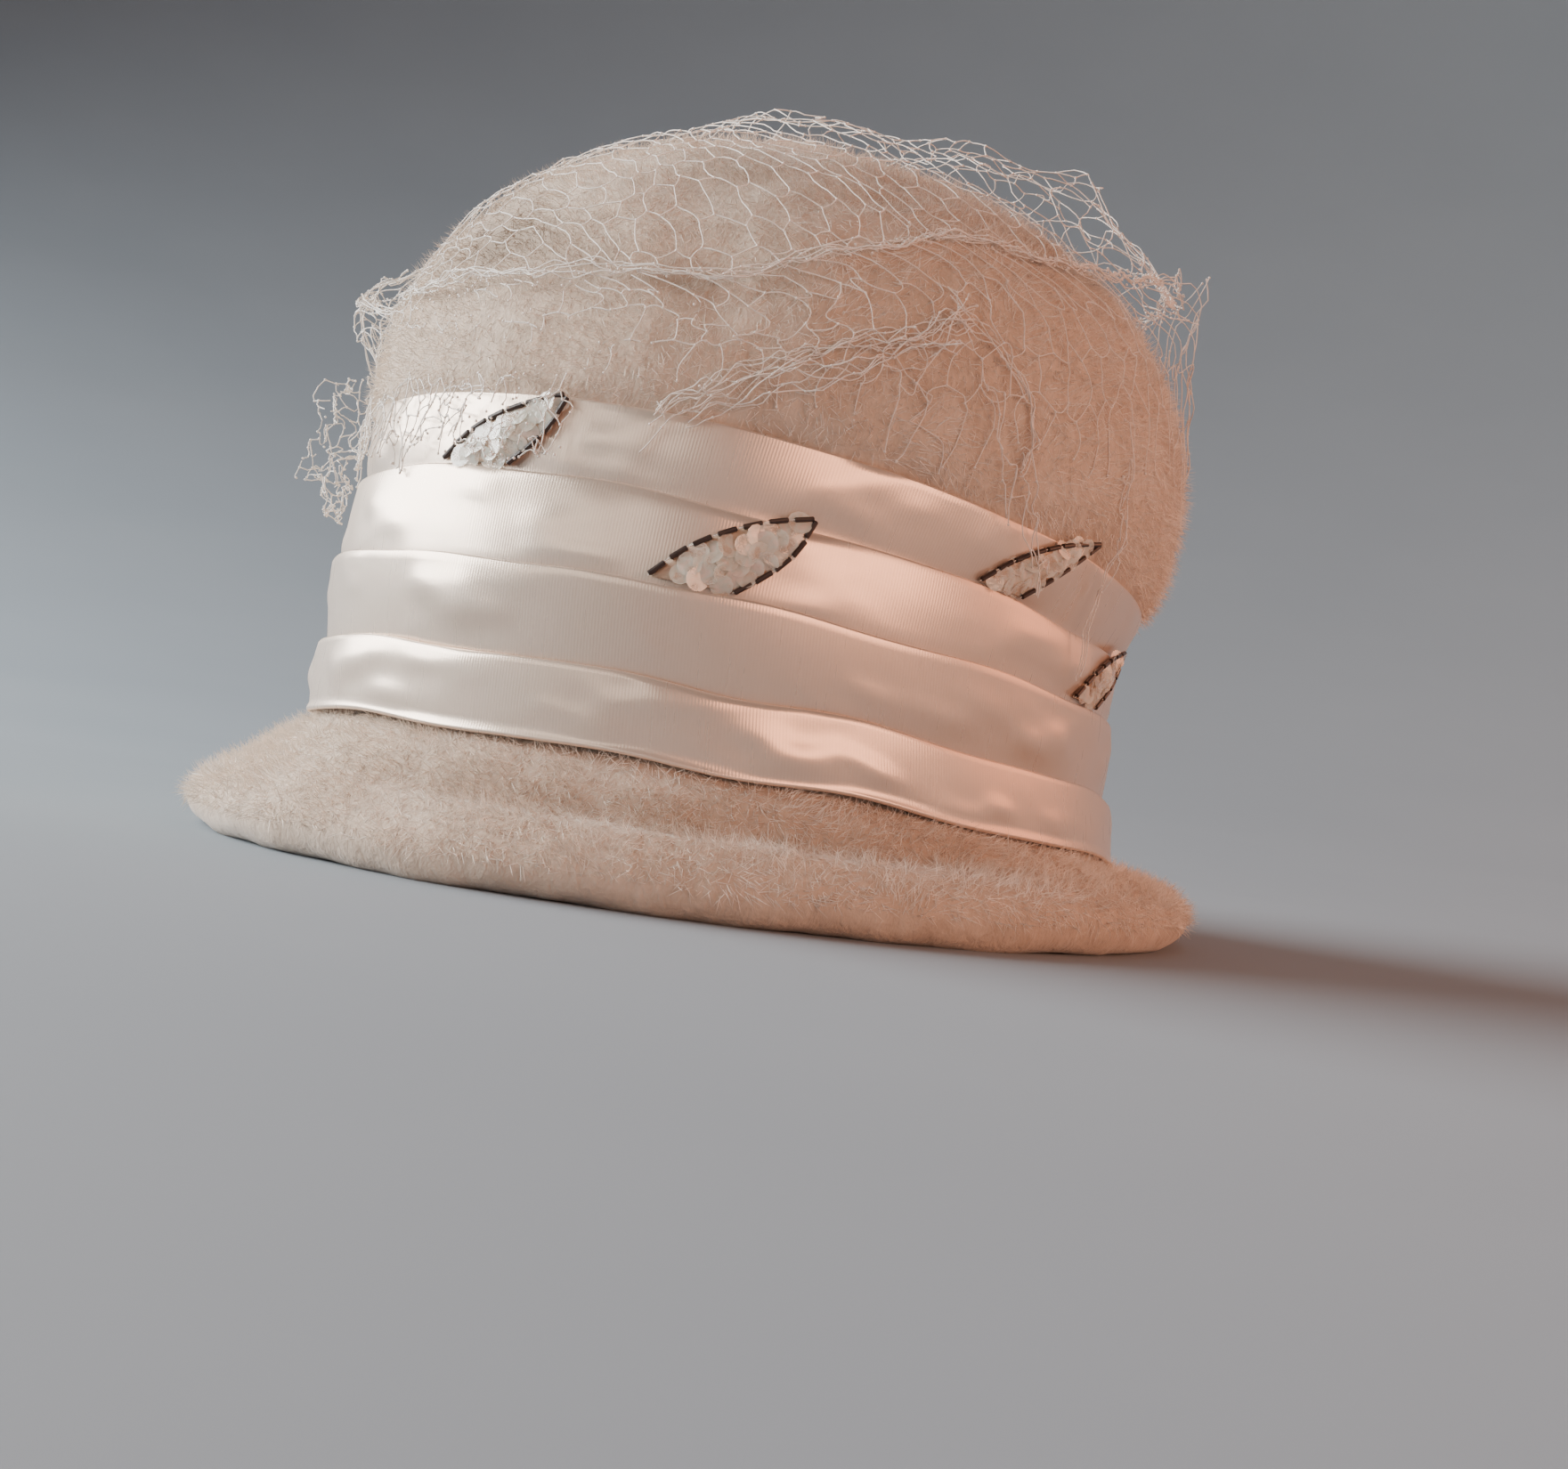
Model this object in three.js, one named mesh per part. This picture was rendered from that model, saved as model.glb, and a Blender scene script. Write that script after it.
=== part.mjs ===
// A narrow-brim felt cloche hat: a one-piece felt body whose brim edge is rolled under, a pleated satin
// band in four tiers with beaded leaves tucked into its folds, and a net veil draped over the crown.
// Millimetres, +Z up, front towards -Y, resting on the rolled brim. The origin is the middle of its foot.
import * as THREE from 'three';
import { TessellateModifier } from 'three/addons/modifiers/TessellateModifier.js';

const segments = 56; // facets round the head
const feltWall = 2.8;
const gap = 0.3; // between neighbouring pieces
const crownOval = 0.06; // the crown is this share longer front to back, and narrower side to side
const brimOval = 0.035;
const bulgeCentre = new THREE.Vector3(0, 6, 95); // dents push the crown towards this point

const leafThickness = 1.4;
const leafGap = 0.5;
const leafEdge = 6; // longest facet edge of a leaf

const netCell = 11.2; // side of a hexagon in the flat net
const netRib = 2.4;
const netThickness = 1.2;
const netTurn = 0.21; // radians the hexagons are turned in the sheet
const netReach = 106; // cells whose centre is further out are left off
const netRadius = 122; // from the crown's tip to the hem, measured flat

// The outer face of the brim, from the tucked-in end of the roll to the crown's foot. radius and height
// are the section, rise lifts it at the front and drops it at the back, lean shifts it backwards.
const brimRows = [
  { radius: 104, height: 2.6, rise: 0, lean: 0 },
  { radius: 108, height: 0, rise: 0, lean: 0 },
  { radius: 112.5, height: 0, rise: 0, lean: 0 },
  { radius: 116.3, height: 1.9, rise: 0, lean: 0 },
  { radius: 118.2, height: 5.8, rise: 0, lean: 0 },
  { radius: 116.8, height: 9.9, rise: 0, lean: 0 },
  { radius: 112.8, height: 12.3, rise: 0.8, lean: 0.5 },
  { radius: 106.3, height: 15.4, rise: 3.4, lean: 1.7 },
  { radius: 100.4, height: 18.2, rise: 6.6, lean: 3.3 },
];

// The outer face of the crown, from its foot to its tip.
const crownRows = [
  { radius: 95.0, height: 21, rise: 9.2, lean: 5 },
  { radius: 92.8, height: 36, rise: 10.7, lean: 3 },
  { radius: 91.3, height: 54, rise: 11.6, lean: 2 },
  { radius: 89.9, height: 69, rise: 14.9, lean: 4.5 },
  { radius: 93.8, height: 84, rise: 16.2, lean: 9.5 },
  { radius: 97.0, height: 90, rise: 15, lean: 12 },
  { radius: 98.4, height: 102, rise: 12, lean: 15 },
  { radius: 95.8, height: 118, rise: 8, lean: 16.5 },
  { radius: 91.2, height: 130, rise: 5, lean: 16.5 },
  { radius: 85.2, height: 139.5, rise: 3, lean: 16 },
  { radius: 77.0, height: 148, rise: 1.5, lean: 14.5 },
  { radius: 65.4, height: 156.5, rise: 0, lean: 13 },
  { radius: 49.5, height: 164.3, rise: 0, lean: 10.5 },
  { radius: 29.5, height: 169.8, rise: 0, lean: 8.5 },
  { radius: 0, height: 172, rise: 0, lean: 8 },
];

// Soft dents in the crown.
const dentRows = [
  { azimuth: -16, height: 134, depth: 4.5, spread: 18 },
  { azimuth: 7, height: 127, depth: 2.5, spread: 15 },
  { azimuth: 25, height: 130, depth: 2.5, spread: 15 },
  { azimuth: 19, height: 148, depth: 3.0, spread: 17 },
  { azimuth: 205, height: 156, depth: 3.0, spread: 26 },
];

// The tiers of the band, top to bottom: each runs from its lower line up to its fold. foot and fold are
// the outer radii there, and a fold stands off the tier above it.
const tierRows = [
  { low: 69, high: 84, foot: 91.6, fold: 95.3 },
  { low: 54, high: 69, foot: 93.1, fold: 93.4 },
  { low: 36, high: 54, foot: 94.5, fold: 95.0 },
  { low: 21, high: 36, foot: 98.0, fold: 96.4 },
];
const foldLip = 0.5; // height of the rounding at a fold
const pipingRadius = 0.9; // rolled edge along the bottom of the band

// Leaves tucked into the folds. tier counts from the top, azimuth is the left foot's, foot is the width
// along the fold, reach and climb take the tip from the left foot, belly rounds the lower edge.
const leafRows = [
  { tier: 0, azimuth: -8.3, foot: 18.6, reach: 29.6, climb: 14.3, belly: 1 },
  { tier: 1, azimuth: 26.7, foot: 17.4, reach: 30.3, climb: 16.0, belly: 1 },
  { tier: 0, azimuth: 70, foot: 12.0, reach: 27.5, climb: 17.2, belly: 0.2 },
  { tier: 1, azimuth: 94, foot: 12.5, reach: 28, climb: 17, belly: 0.5 },
  { tier: 0, azimuth: 140, foot: 16, reach: 29, climb: 15, belly: 1 },
  { tier: 1, azimuth: 172, foot: 16, reach: 30, climb: 16, belly: 1 },
  { tier: 0, azimuth: 212, foot: 16, reach: 29, climb: 15, belly: 1 },
];

// Where the veil's hem comes round the head and how far it stands off there and over the shoulder.
const veilRows = [
  { azimuth: -180, hem: 84, hemGap: 2, puff: 1.5 },
  { azimuth: -140, hem: 84, hemGap: 4, puff: 5 },
  { azimuth: -110, hem: 82, hemGap: 6, puff: 7 },
  { azimuth: -75, hem: 72, hemGap: 9, puff: 7 },
  { azimuth: -50, hem: 66, hemGap: 11, puff: 6 },
  { azimuth: -22, hem: 78, hemGap: 5, puff: 4 },
  { azimuth: 15, hem: 90, hemGap: 3.5, puff: 4 },
  { azimuth: 60, hem: 86, hemGap: 5, puff: 8 },
  { azimuth: 100, hem: 72, hemGap: 8, puff: 12 },
  { azimuth: 132, hem: 76, hemGap: 7, puff: 11 },
  { azimuth: 155, hem: 80, hemGap: 4, puff: 4 },
  { azimuth: 180, hem: 84, hemGap: 2, puff: 1.5 },
];
const veilTop = { azimuth: 110, gap: 5, lift: 8 }; // at the crown's tip, with fullness on one side
const veilRipple = { count: 9, depth: 1.2 };

const materials = {
  felt: new THREE.MeshStandardMaterial({ color: '#bfae9f', roughness: 1, metalness: 0 }),
  satin: new THREE.MeshStandardMaterial({ color: '#e3d0c1', roughness: 0.35, metalness: 0 }),
  leaf: new THREE.MeshStandardMaterial({ color: '#8a6f5a', roughness: 0.4, metalness: 0.2 }),
  net: new THREE.MeshStandardMaterial({ color: '#efe4da', roughness: 0.6, metalness: 0 }),
};

// The straight-line value of a table's column where its key column has the given value.
function between(rows, key, value, column) {
  const after = rows.findIndex((row) => row[key] >= value);
  if (after === 0) return rows[0][column];
  if (after < 0) return rows[rows.length - 1][column];
  const low = rows[after - 1];
  const high = rows[after];
  return THREE.MathUtils.mapLinear(value, low[key], high[key], low[column], high[column]);
}

// A point of the hat: a section's radius and height, carried round the oval head.
function onHat({ radius, height, rise, lean, oval = crownOval }, azimuth) {
  return new THREE.Vector3(
    radius * (1 - oval) * Math.sin(azimuth),
    -radius * (1 + oval) * Math.cos(azimuth) + lean,
    height + rise * Math.cos(azimuth),
  );
}

function dented(point) {
  for (const { azimuth, height, depth, spread } of dentRows) {
    const section = { height, rise: 0, lean: between(crownRows, 'height', height, 'lean') };
    section.radius = between(crownRows, 'height', height, 'radius');
    const middle = onHat(section, THREE.MathUtils.degToRad(azimuth));
    const share = Math.exp(-((point.distanceTo(middle) / spread) ** 2));
    point.addScaledVector(bulgeCentre.clone().sub(point).normalize(), depth * share);
  }
  return point;
}

// Turns rows into a ring or cup: a lathe whose sections are then carried round the oval head.
function aroundHead(rows, finish = (point) => point) {
  const outline = rows.map((row) => new THREE.Vector2(row.radius, row.height));
  const geometry = new THREE.LatheGeometry(outline, segments);
  const position = geometry.getAttribute('position');
  for (let i = 0; i < position.count; i += 1) {
    const azimuth = (Math.floor(i / rows.length) % segments) * ((2 * Math.PI) / segments);
    const point = finish(onHat(rows[i % rows.length], azimuth));
    position.setXYZ(i, point.x, point.y, point.z);
  }
  return geometry;
}

// The same rows moved inwards by the wall, square to the section.
function insideOf(rows, wall) {
  return rows.map((row, i) => {
    const before = rows[Math.max(i - 1, 0)];
    const after = rows[Math.min(i + 1, rows.length - 1)];
    const along = new THREE.Vector2(after.radius - before.radius, after.height - before.height).normalize();
    const radius = row.radius === 0 ? 0 : row.radius - wall * along.y;
    return { ...row, radius, height: row.height + wall * (row.radius === 0 ? -1 : along.x) };
  });
}

function feltBody() {
  const brim = brimRows.map((row) => ({ ...row, oval: brimOval }));
  const outside = [...brim, ...crownRows];
  const inside = insideOf(outside, feltWall);
  return aroundHead([...inside.reverse(), ...outside], dented);
}

// A row at a height on the band, with the crown's rise and lean there.
function bandRow(radius, height) {
  const rise = between(crownRows, 'height', height, 'rise');
  const lean = between(crownRows, 'height', height, 'lean');
  return { radius, height, rise, lean };
}

function satinBand() {
  const top = tierRows[0].high;
  const { low: bottom, foot: bottomFoot } = tierRows[tierRows.length - 1];
  const inside = crownRows
    .filter(({ height }) => height >= bottom && height <= top)
    .map((row) => ({ ...row, radius: row.radius + gap }));
  const piping = [
    bandRow(bottomFoot - pipingRadius, bottom),
    bandRow(bottomFoot + pipingRadius, bottom + pipingRadius),
  ];
  const tiers = [...tierRows].reverse().flatMap(({ low, high, foot, fold }) => [
    bandRow(foot, low + foldLip + (low === bottom ? 2 * pipingRadius : 0)),
    bandRow(fold, high - foldLip),
    bandRow(fold - foldLip, high),
  ]);
  return aroundHead([...piping, ...tiers, ...inside.reverse(), piping[0]]);
}

// A pointed leaf cut off straight where it goes into the fold, laid on its tier.
function leaf({ tier, azimuth, foot, reach, climb, belly }) {
  const shape = new THREE.Shape();
  shape.moveTo(0, 0);
  shape.lineTo(foot, 0);
  shape.quadraticCurveTo(foot + (reach - foot) * (0.5 + 0.5 * belly), 0.5 * climb, reach, climb);
  shape.quadraticCurveTo(0.3 * reach, 0.65 * climb, 0, 0);
  const flat = new THREE.ExtrudeGeometry(shape, { depth: leafThickness, bevelEnabled: false, curveSegments: 5 });
  const geometry = new TessellateModifier(leafEdge).modify(flat);
  const { low, high, foot: lowRadius, fold: highRadius } = tierRows[tier];
  return bent(geometry, ({ x: along, y: up, z: out }) => {
    const height = low + foldLip + leafGap + up;
    const radius = THREE.MathUtils.mapLinear(height, low, high, lowRadius, highRadius) + leafGap + out;
    return onHat(bandRow(radius, height), THREE.MathUtils.degToRad(azimuth) + along / lowRadius);
  });
}

// Moves every corner of a geometry to where the function puts it.
function bent(geometry, place) {
  const position = geometry.getAttribute('position');
  for (let i = 0; i < position.count; i += 1) {
    const point = place(new THREE.Vector3().fromBufferAttribute(position, i));
    position.setXYZ(i, point.x, point.y, point.z);
  }
  return geometry;
}

// What the veil lies over, from the tip of the crown down across the band, with the way down as path.
function skinRows() {
  const overBand = tierRows.map(({ high, fold }) => bandRow(fold + 0.4, high));
  const rows = [...[...crownRows].reverse().filter(({ height }) => height > tierRows[0].high), ...overBand];
  let path = 0;
  return rows.map((row, i) => {
    if (i > 0) path += Math.hypot(row.radius - rows[i - 1].radius, row.height - rows[i - 1].height);
    return { ...row, path, depth: -row.height };
  });
}

function hexagon(centre, side) {
  return Array.from({ length: 6 }, (_, i) => {
    const turn = netTurn + (i * Math.PI) / 3;
    return new THREE.Vector2(centre.x + side * Math.cos(turn), centre.y + side * Math.sin(turn));
  });
}

// The flat net: hexagons in rows, cut through a sheet whose outline is theirs.
function flatNet() {
  const cells = [];
  const count = Math.ceil(netReach / netCell);
  for (let column = -count; column <= count; column += 1) {
    for (let row = -count; row <= count; row += 1) {
      const centre = new THREE.Vector2(1.5 * column, Math.sqrt(3) * (row + column / 2));
      centre.multiplyScalar(netCell).rotateAround(new THREE.Vector2(), netTurn);
      if (centre.length() < netReach) cells.push(centre);
    }
  }
  const name = ({ x, y }) => `${Math.round(x / netCell / 0.2)} ${Math.round(y / netCell / 0.2)}`;
  const rim = new Map();
  for (const centre of cells) {
    hexagon(centre, netCell).forEach((corner, i, ring) => {
      const next = ring[(i + 1) % 6];
      if (rim.get(name(next))?.some((end) => name(end) === name(corner))) {
        rim.set(name(next), rim.get(name(next)).filter((end) => name(end) !== name(corner)));
      } else {
        rim.set(name(corner), [...(rim.get(name(corner)) ?? []), next]);
      }
    });
  }
  const start = [...rim.values()].find((ends) => ends.length > 0)[0];
  const outline = [start];
  for (let next = rim.get(name(start))[0]; name(next) !== name(start); next = rim.get(name(next))[0]) {
    outline.push(next);
  }
  const sheet = new THREE.Shape(outline);
  sheet.holes = cells.map((centre) => new THREE.Path(hexagon(centre, netCell - netRib / Math.sqrt(3))));
  return sheet;
}

function veil() {
  const skin = skinRows();
  const flat = new THREE.ExtrudeGeometry(flatNet(), { depth: netThickness, bevelEnabled: false });
  return bent(flat, ({ x, y, z: out }) => {
    const azimuth = Math.atan2(x, -y);
    const share = Math.hypot(x, y) / netRadius;
    const edge = (column) => between(veilRows, 'azimuth', THREE.MathUtils.radToDeg(azimuth), column);
    const path = share * between(skin, 'depth', -edge('hem'), 'path');
    const at = (column) => between(skin, 'path', path, column);
    const section = { radius: at('radius'), height: at('height'), rise: at('rise'), lean: at('lean') };
    const point = onHat(section, azimuth);
    const overTip = THREE.MathUtils.lerp(veilTop.gap, edge('puff'), THREE.MathUtils.smoothstep(share, 0, 0.6));
    const stand = THREE.MathUtils.lerp(overTip, edge('hemGap'), THREE.MathUtils.smoothstep(share, 0.65, 1));
    const side = Math.max(0, Math.cos(azimuth - THREE.MathUtils.degToRad(veilTop.azimuth)));
    const lift = veilTop.lift * side * Math.sin(Math.PI * Math.min(1, 1.4 * share));
    const ripple = veilRipple.depth * share * Math.cos(veilRipple.count * azimuth);
    const away = point.clone().sub(bulgeCentre).normalize();
    return point.addScaledVector(away, stand + lift + ripple + out);
  });
}

const hat = new THREE.Group();

function addMesh(name, geometry, material) {
  const mesh = new THREE.Mesh(geometry, material);
  mesh.name = name;
  hat.add(mesh);
}

addMesh('felt_body', feltBody(), materials.felt);
addMesh('satin_band', satinBand(), materials.satin);
leafRows.forEach((row, i) => addMesh(`leaf_${i + 1}`, leaf(row), materials.leaf));
addMesh('veil', veil(), materials.net);

export default hat;
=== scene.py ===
import math

import bmesh
import bpy
import numpy as np
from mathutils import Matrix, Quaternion, Vector


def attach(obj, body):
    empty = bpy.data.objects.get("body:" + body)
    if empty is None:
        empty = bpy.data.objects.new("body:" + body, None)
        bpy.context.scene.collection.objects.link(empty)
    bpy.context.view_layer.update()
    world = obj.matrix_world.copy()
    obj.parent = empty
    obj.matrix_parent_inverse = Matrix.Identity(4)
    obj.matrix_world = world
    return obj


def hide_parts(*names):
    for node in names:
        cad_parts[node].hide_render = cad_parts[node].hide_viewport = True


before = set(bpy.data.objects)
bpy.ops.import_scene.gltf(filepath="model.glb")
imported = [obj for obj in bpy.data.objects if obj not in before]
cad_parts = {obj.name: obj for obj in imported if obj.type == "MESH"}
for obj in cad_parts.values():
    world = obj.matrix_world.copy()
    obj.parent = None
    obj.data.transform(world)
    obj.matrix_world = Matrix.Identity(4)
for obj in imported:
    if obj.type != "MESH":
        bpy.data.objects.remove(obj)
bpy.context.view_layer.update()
mm = 0.001
print("frame loaded")


# the camera, level and a little rolled, so the hat sits turned

cameraLook = {"azimuth": 35, "distance": 0.600, "height": 0.0426, "lens": 58.0, "sensor": 36.0,
              "aim": (0.0132, 0.0099, 0.0369), "roll": 7.83, "near": 0.02}


def placed(name, data):
    piece = bpy.data.objects.new(name, data)
    bpy.context.scene.collection.objects.link(piece)
    return piece


def aimed(piece, aim, away, roll=0):  # stood away from the aim and turned to it
    piece.location = Vector(aim) + away
    piece.rotation_mode = "QUATERNION"
    facing = (-away).to_track_quat("-Z", "Y")
    piece.rotation_quaternion = facing @ Quaternion((0, 0, 1), math.radians(roll))
    return piece


def makeCamera(look):
    data = bpy.data.cameras.new("camera")
    data.lens, data.sensor_width = look["lens"], look["sensor"]
    data.clip_start = look["near"]
    turn = math.radians(look["azimuth"])
    place = Vector((math.sin(turn), -math.cos(turn), 0)) * look["distance"]
    away = Vector((place.x, place.y, look["height"])) - Vector(look["aim"])
    bpy.context.scene.camera = aimed(placed("camera", data), look["aim"], away, look["roll"])


makeCamera(cameraLook)
print("camera made")


# small helpers that build node trees

class Wire:  # one output socket, with arithmetic
    def __init__(self, recipe, socket):
        self.recipe, self.socket = recipe, socket

    def maths(self, operation, *others):
        sockets = dict(enumerate((self, *others)))
        return self.recipe.node("ShaderNodeMath", {"operation": operation}, sockets)

    def __add__(self, other):
        return self.maths("ADD", other)

    def __mul__(self, other):
        return self.maths("MULTIPLY", other)

    def __sub__(self, other):
        return self.maths("SUBTRACT", other)

    def __rsub__(self, other):
        return (self * -1) + other

    __radd__ = __add__
    __rmul__ = __mul__

    def clamped(self):
        return self.maths("MAXIMUM", 0.0).maths("MINIMUM", 1.0)

    def out(self, name):
        return Wire(self.recipe, self.socket.node.outputs[name])


class Recipe:  # a shader's or a geometry's node tree
    def __init__(self, tree):
        self.tree = tree

    def place(self):
        return self.node("ShaderNodeTexCoord").out("Object")

    def node(self, kind, settings=None, sockets=None, output=0):
        made = self.tree.nodes.new(kind)
        for key, value in (settings or {}).items():
            if key == "stops":
                self.setStops(made.color_ramp, value)
            else:
                setattr(made, key, value)
        for key, value in (sockets or {}).items():
            if isinstance(value, Wire):
                self.tree.links.new(value.socket, made.inputs[key])
            else:
                made.inputs[key].default_value = value
        return Wire(self, made.outputs[output]) if len(made.outputs) else made

    def setStops(self, ramp, stops):
        while len(ramp.elements) < len(stops):
            ramp.elements.new(0.5)
        for element, (place, colour) in zip(ramp.elements, stops):
            element.position, element.color = place, colour


def newShader(name):
    material = bpy.data.materials.new(name)
    material.use_nodes = True
    material.node_tree.nodes.clear()
    return material, Recipe(material.node_tree)


def finishShader(material, recipe, sockets):
    shader = recipe.node("ShaderNodeBsdfPrincipled", {}, sockets)
    recipe.node("ShaderNodeOutputMaterial", {}, {"Surface": shader})
    return material


def mixed(recipe, share, first, second):  # from the first colour to the second
    sockets = {"Factor": share, "A": first, "B": second}
    return recipe.node("ShaderNodeMix", {"data_type": "RGBA"}, sockets, "Result")


def shaded(colour, share):
    return tuple(share * c for c in colour[:3]) + (1,)


def noise(recipe, place, scale, detail, **more):
    return recipe.node("ShaderNodeTexNoise", {}, {"Vector": place, "Scale": scale, "Detail": detail, **more})


def vectorMaths(recipe, operation, first, second):
    sockets = {0: first, "Scale" if operation == "SCALE" else 1: second}
    return recipe.node("ShaderNodeVectorMath", {"operation": operation}, sockets)


def joined(recipe, *parts):
    whole = recipe.node("GeometryNodeJoinGeometry")
    for part in parts:
        recipe.tree.links.new(part.socket, whole.socket.node.inputs[0])
    return whole


def finishGrower(recipe, geometry, material):  # real faces in one material are the tree's result
    real = recipe.node("GeometryNodeRealizeInstances", {}, {"Geometry": geometry})
    painted = recipe.node("GeometryNodeSetMaterial", {}, {"Geometry": real, "Material": material})
    recipe.node("NodeGroupOutput", {}, {"Geometry": painted})
    return recipe.tree


socketKinds = {float: "NodeSocketFloat", int: "NodeSocketInt", type(None): "NodeSocketMaterial"}


def newGrower(name, inputs):  # inputs: name -> default, None for a material
    tree = bpy.data.node_groups.new(name, "GeometryNodeTree")
    tree.interface.new_socket("Geometry", in_out="INPUT", socket_type="NodeSocketGeometry")
    tree.interface.new_socket("Geometry", in_out="OUTPUT", socket_type="NodeSocketGeometry")
    for key, value in inputs.items():
        kind = socketKinds[type(value)]
        tree.interface.new_socket(key, in_out="INPUT", socket_type=kind).default_value = value
    recipe = Recipe(tree)
    return recipe, recipe.node("NodeGroupInput")


def grow(piece, tree, name, **values):  # runs the tree on piece and leaves a plain mesh
    modifier = piece.modifiers.new("grow", "NODES")
    modifier.node_group = tree
    for item in tree.interface.items_tree:
        if item.item_type == "SOCKET" and item.in_out == "INPUT" and item.name in values:
            modifier[item.identifier] = values[item.name]
    return baked(piece, name)


def baked(piece, name):  # a plain mesh in place of the piece and its modifier
    bpy.context.view_layer.update()
    evaluated = piece.evaluated_get(bpy.context.evaluated_depsgraph_get())
    mesh = bpy.data.meshes.new_from_object(evaluated)
    bpy.data.objects.remove(piece)
    return placed(name, mesh)


def finish(piece, slot, *nodes):
    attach(piece, "root")
    if nodes:
        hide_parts(*nodes)


# the hat's form, in millimetres

form = {"crownOval": 0.06, "brimOval": 0.035, "felt": 2.8, "bulge": (0, 6, 95), "columns": 288, "step": 1.3,
        "brimStarts": 112, "brimStops": 12, "ovalEases": 9}
sectionColumns = ("radius", "height", "rise", "lean")
brimRows = np.array([
    (104.0, 2.6, 0, 0), (105.6, 0.9, 0, 0), (108.0, 0.1, 0, 0), (112.5, 0.0, 0, 0), (116.3, 1.9, 0, 0),
    (118.2, 5.8, 0, 0), (116.8, 9.9, 0, 0), (112.8, 12.3, 0.8, 0.5), (106.3, 15.4, 3.4, 1.7),
    (100.4, 18.2, 6.6, 3.3)])
crownRows = np.array([
    (95.0, 21, 9.2, 5), (92.8, 36, 10.7, 3), (91.3, 54, 11.6, 2), (89.9, 69, 14.9, 4.5),
    (93.8, 84, 16.2, 9.5), (97.0, 90, 15.0, 12), (98.4, 102, 12.0, 15), (95.8, 118, 8.0, 16.5),
    (91.2, 130, 5.0, 16.5),
    (85.2, 139.5, 3.0, 16), (77.0, 148, 1.5, 14.5), (65.4, 156.5, 0, 13), (49.5, 164.3, 0, 10.5),
    (29.5, 169.8, 0, 8.5), (0.0, 172, 0, 8)])
dentRows = [  # azimuth, height, depth, spread
    (-16, 134, 4.5, 18), (7, 127, 2.5, 15), (25, 130, 2.5, 15), (19, 148, 3.0, 17), (205, 156, 3.0, 26)]
tierRows = [  # low, high, foot radius, fold radius
    (69, 84, 91.6, 95.3), (54, 69, 93.1, 93.4), (36, 54, 94.5, 95.0), (21, 36, 98.0, 96.4)]


def column(rows, name, heights):
    return np.interp(heights, rows[:, 1], rows[:, sectionColumns.index(name)])


def smoothed(rows, step):  # a curve through the rows, sampled every step
    reach = np.concatenate([[0], np.cumsum(np.hypot(*np.diff(rows[:, :2], axis=0).T))])
    slope = np.gradient(rows, reach, axis=0)
    at = np.linspace(0, reach[-1], int(reach[-1] / step) + 1)
    low = np.clip(np.searchsorted(reach, at, side="right") - 1, 0, len(rows) - 2)
    span = (reach[low + 1] - reach[low])[:, None]
    t = (at - reach[low])[:, None] / span
    curve = (2 * t**3 - 3 * t**2 + 1) * rows[low] + (t**3 - 2 * t**2 + t) * span * slope[low]
    return curve + (3 * t**2 - 2 * t**3) * rows[low + 1] + (t**3 - t**2) * span * slope[low + 1]


def onHat(radius, height, rise, lean, azimuth, oval):
    x = radius * (1 - oval) * np.sin(azimuth)
    y = -radius * (1 + oval) * np.cos(azimuth) + lean
    return np.stack(np.broadcast_arrays(x, y, height + rise * np.cos(azimuth)), axis=-1)


def atHeight(radius, height, azimuth):  # a point of the crown or band at a section height
    rise, lean = column(crownRows, "rise", height), column(crownRows, "lean", height)
    return onHat(radius, height, rise, lean, azimuth, form["crownOval"])


def unit(vectors):
    return vectors / np.linalg.norm(vectors, axis=-1, keepdims=True)


def dented(points):
    for azimuth, height, depth, spread in dentRows:
        radius, lean = column(crownRows, "radius", height), column(crownRows, "lean", height)
        middle = onHat(radius, height, 0, lean, math.radians(azimuth), form["crownOval"])
        share = np.exp(-(np.linalg.norm(points - middle, axis=-1) / spread) ** 2)
        points = points + unit(np.array(form["bulge"]) - points) * (depth * share)[..., None]
    return points


def softNoise(points, size, seed, waves=20):  # smooth random field of about unit strength
    draw = np.random.default_rng(seed)
    way = unit(draw.normal(size=(waves, points.shape[-1])))
    pull = way * draw.uniform(0.6, 1.5, (waves, 1)) * 2 * math.pi / size
    phase = draw.uniform(0, 2 * math.pi, waves)
    return np.cos(points @ pull.T + phase).sum(axis=-1) * math.sqrt(2 / waves)


def wander(points, size, seed):  # the same noise for each of three directions
    return np.stack([softNoise(points, size, seed + k) for k in (1, 2, 3)], axis=1)


def newPiece(name, points, edges, faces):
    mesh = bpy.data.meshes.new(name)
    mesh.from_pydata((points.reshape(-1, 3) * mm).tolist(), edges, faces)
    return placed(name, mesh)


def setLayer(piece, name, values):  # one number at each point, for a tree or a shader
    layer = piece.data.attributes.new(name, "FLOAT", "POINT")
    layer.data.foreach_set("value", values.astype(np.float32))


def gridMesh(name, grid, cloth=None, closed=True):  # closed round the head; cloth holds u and v lengths
    rows, columns = grid.shape[:2]
    corner = np.arange(rows * columns).reshape(rows, columns)
    if closed:
        corner = np.hstack([corner, corner[:, :1]])
    faces = np.stack([corner[:-1, :-1], corner[:-1, 1:], corner[1:, 1:], corner[1:, :-1]], axis=-1)
    piece = newPiece(name, grid, [], faces.reshape(-1, 4).tolist())
    if cloth is not None:
        across, along = cloth
        u = np.stack([across[:-1], across[1:], across[1:], across[:-1]], axis=-1)
        v = np.stack([along[:-1], along[:-1], along[1:], along[1:]], axis=-1)
        layer = piece.data.uv_layers.new(name="cloth")
        u, v = np.broadcast_arrays(u[None, :, :], v[:, None, :])
        layer.data.foreach_set("uv", np.stack([u, v], axis=-1).ravel() * mm)
    return piece


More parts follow.
